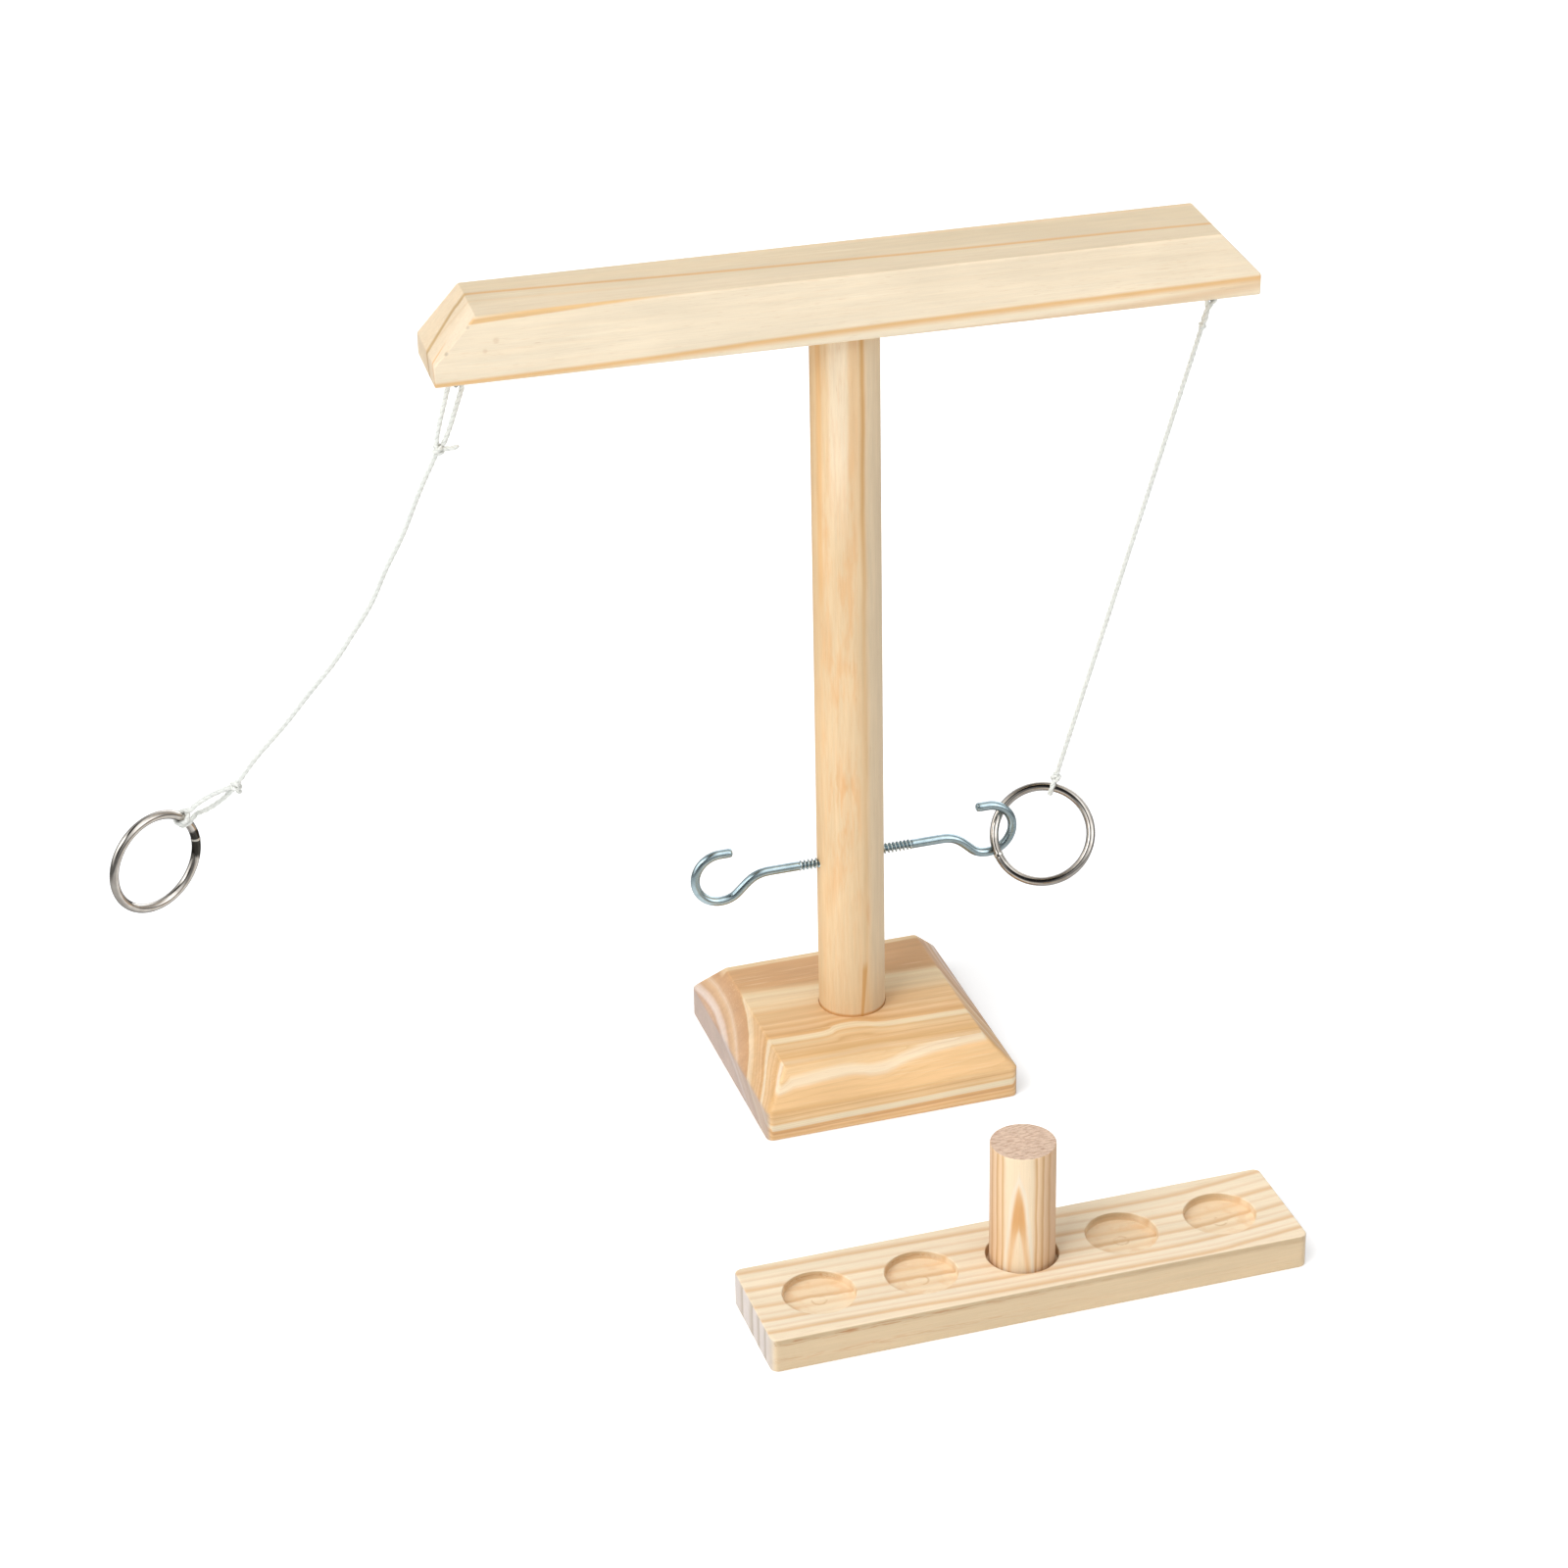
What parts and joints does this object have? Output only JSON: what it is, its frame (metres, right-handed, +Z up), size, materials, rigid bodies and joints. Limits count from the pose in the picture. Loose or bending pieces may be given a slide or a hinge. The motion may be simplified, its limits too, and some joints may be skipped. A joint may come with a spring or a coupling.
{
  "type": "ring toss game",
  "caption": "Wooden ring toss stand with side hooks, corded metal rings hung from a sloped-end crossbar, and a separate recessed score board with a round peg.",
  "frame": {"origin": "centre of the base block's underside, on the table", "axes": "+Z up along the post, +X to the player's right (close to the crossbar's run), -Y towards the player and the score board"},
  "size_m": [0.4271, 0.24, 0.328],
  "materials": {
    "pine_base": "satin varnish",
    "pine_post": "satin varnish",
    "pine_bar": "satin varnish",
    "pine_board": "satin varnish",
    "pine_peg": "satin varnish",
    "zinc_steel": "zinc plated",
    "zinc_eye": "zinc plated",
    "nickel_ring": "polished",
    "cotton_cord": "twisted cotton"
  },
  "bodies": {
    "stand": {"base_block": "pine_base", "post": "pine_post", "crossbar": "pine_bar", "left_hook": "zinc_steel", "right_hook": "zinc_steel", "left_eye": "zinc_eye", "right_eye": "zinc_eye"},
    "left_loop": {"left_top_loop": "cotton_cord", "left_top_knot": "cotton_cord"},
    "left_upper": {"left_string_upper": "cotton_cord"},
    "left_lower": {"left_string_lower": "cotton_cord"},
    "left_hitch": {"left_ring_knot": "cotton_cord", "left_ring_loop": "cotton_cord"},
    "left_tossing_ring": {"left_ring": "nickel_ring"},
    "right_cord": {"right_top_loop": "cotton_cord", "right_top_knot": "cotton_cord", "right_string": "cotton_cord", "right_ring_knot": "cotton_cord", "right_ring_loop": "cotton_cord"},
    "right_tossing_ring": {"right_ring": "nickel_ring"},
    "score_board": {"ladder_board": "pine_board"},
    "peg": {"score_peg": "pine_peg"}
  },
  "joints": [
    {"name": "left_swing", "type": "hinge", "parent": "stand", "child": "left_loop", "pos_m": [-0.13999, 0.00758, 0.2966], "axis": [0, -1, 0], "range_deg": [-45, 40]},
    {"name": "left_side_swing", "type": "hinge", "parent": "left_loop", "child": "left_upper", "pos_m": [-0.14696, 0.00989, 0.27239], "axis": [1, 0, 0], "range_deg": [-22, 22]},
    {"name": "left_flex", "type": "hinge", "parent": "left_upper", "child": "left_lower", "pos_m": [-0.17349, 0.01508, 0.2146], "axis": [0, 1, 0], "range_deg": [-12, 12]},
    {"name": "left_ring_twist", "type": "hinge", "parent": "left_lower", "child": "left_hitch", "pos_m": [-0.22649, 0.02208, 0.1466], "axis": [0.8491, -0.1463, 0.5075], "range_deg": [-90, 90]},
    {"name": "left_ring_pivot", "type": "hinge", "parent": "left_hitch", "child": "left_tossing_ring", "pos_m": [-0.2463, 0.02549, 0.13476], "axis": [-0.6019, -0.3489, 0.7184], "range_deg": [-45, 45]},
    {"name": "right_swing", "type": "hinge", "parent": "stand", "child": "right_cord", "pos_m": [0.1372, -0.00743, 0.2966], "axis": [0, 1, 0], "range_deg": [0, 2]},
    {"name": "right_ring_rock", "type": "hinge", "parent": "right_cord", "child": "right_tossing_ring", "pos_m": [0.08208, 0.0019, 0.10119], "axis": [-0.8404, 0.5337, 0.0947], "range_deg": [0, 10]},
    {"name": "ladder_lift", "type": "slide", "parent": "stand", "child": "score_board", "axis": [0, 0, 1], "range_m": [0, 0.1]},
    {"name": "peg_lift", "type": "slide", "parent": "score_board", "child": "peg", "axis": [0, 0, 1], "range_m": [0, 0.08]}
  ]
}
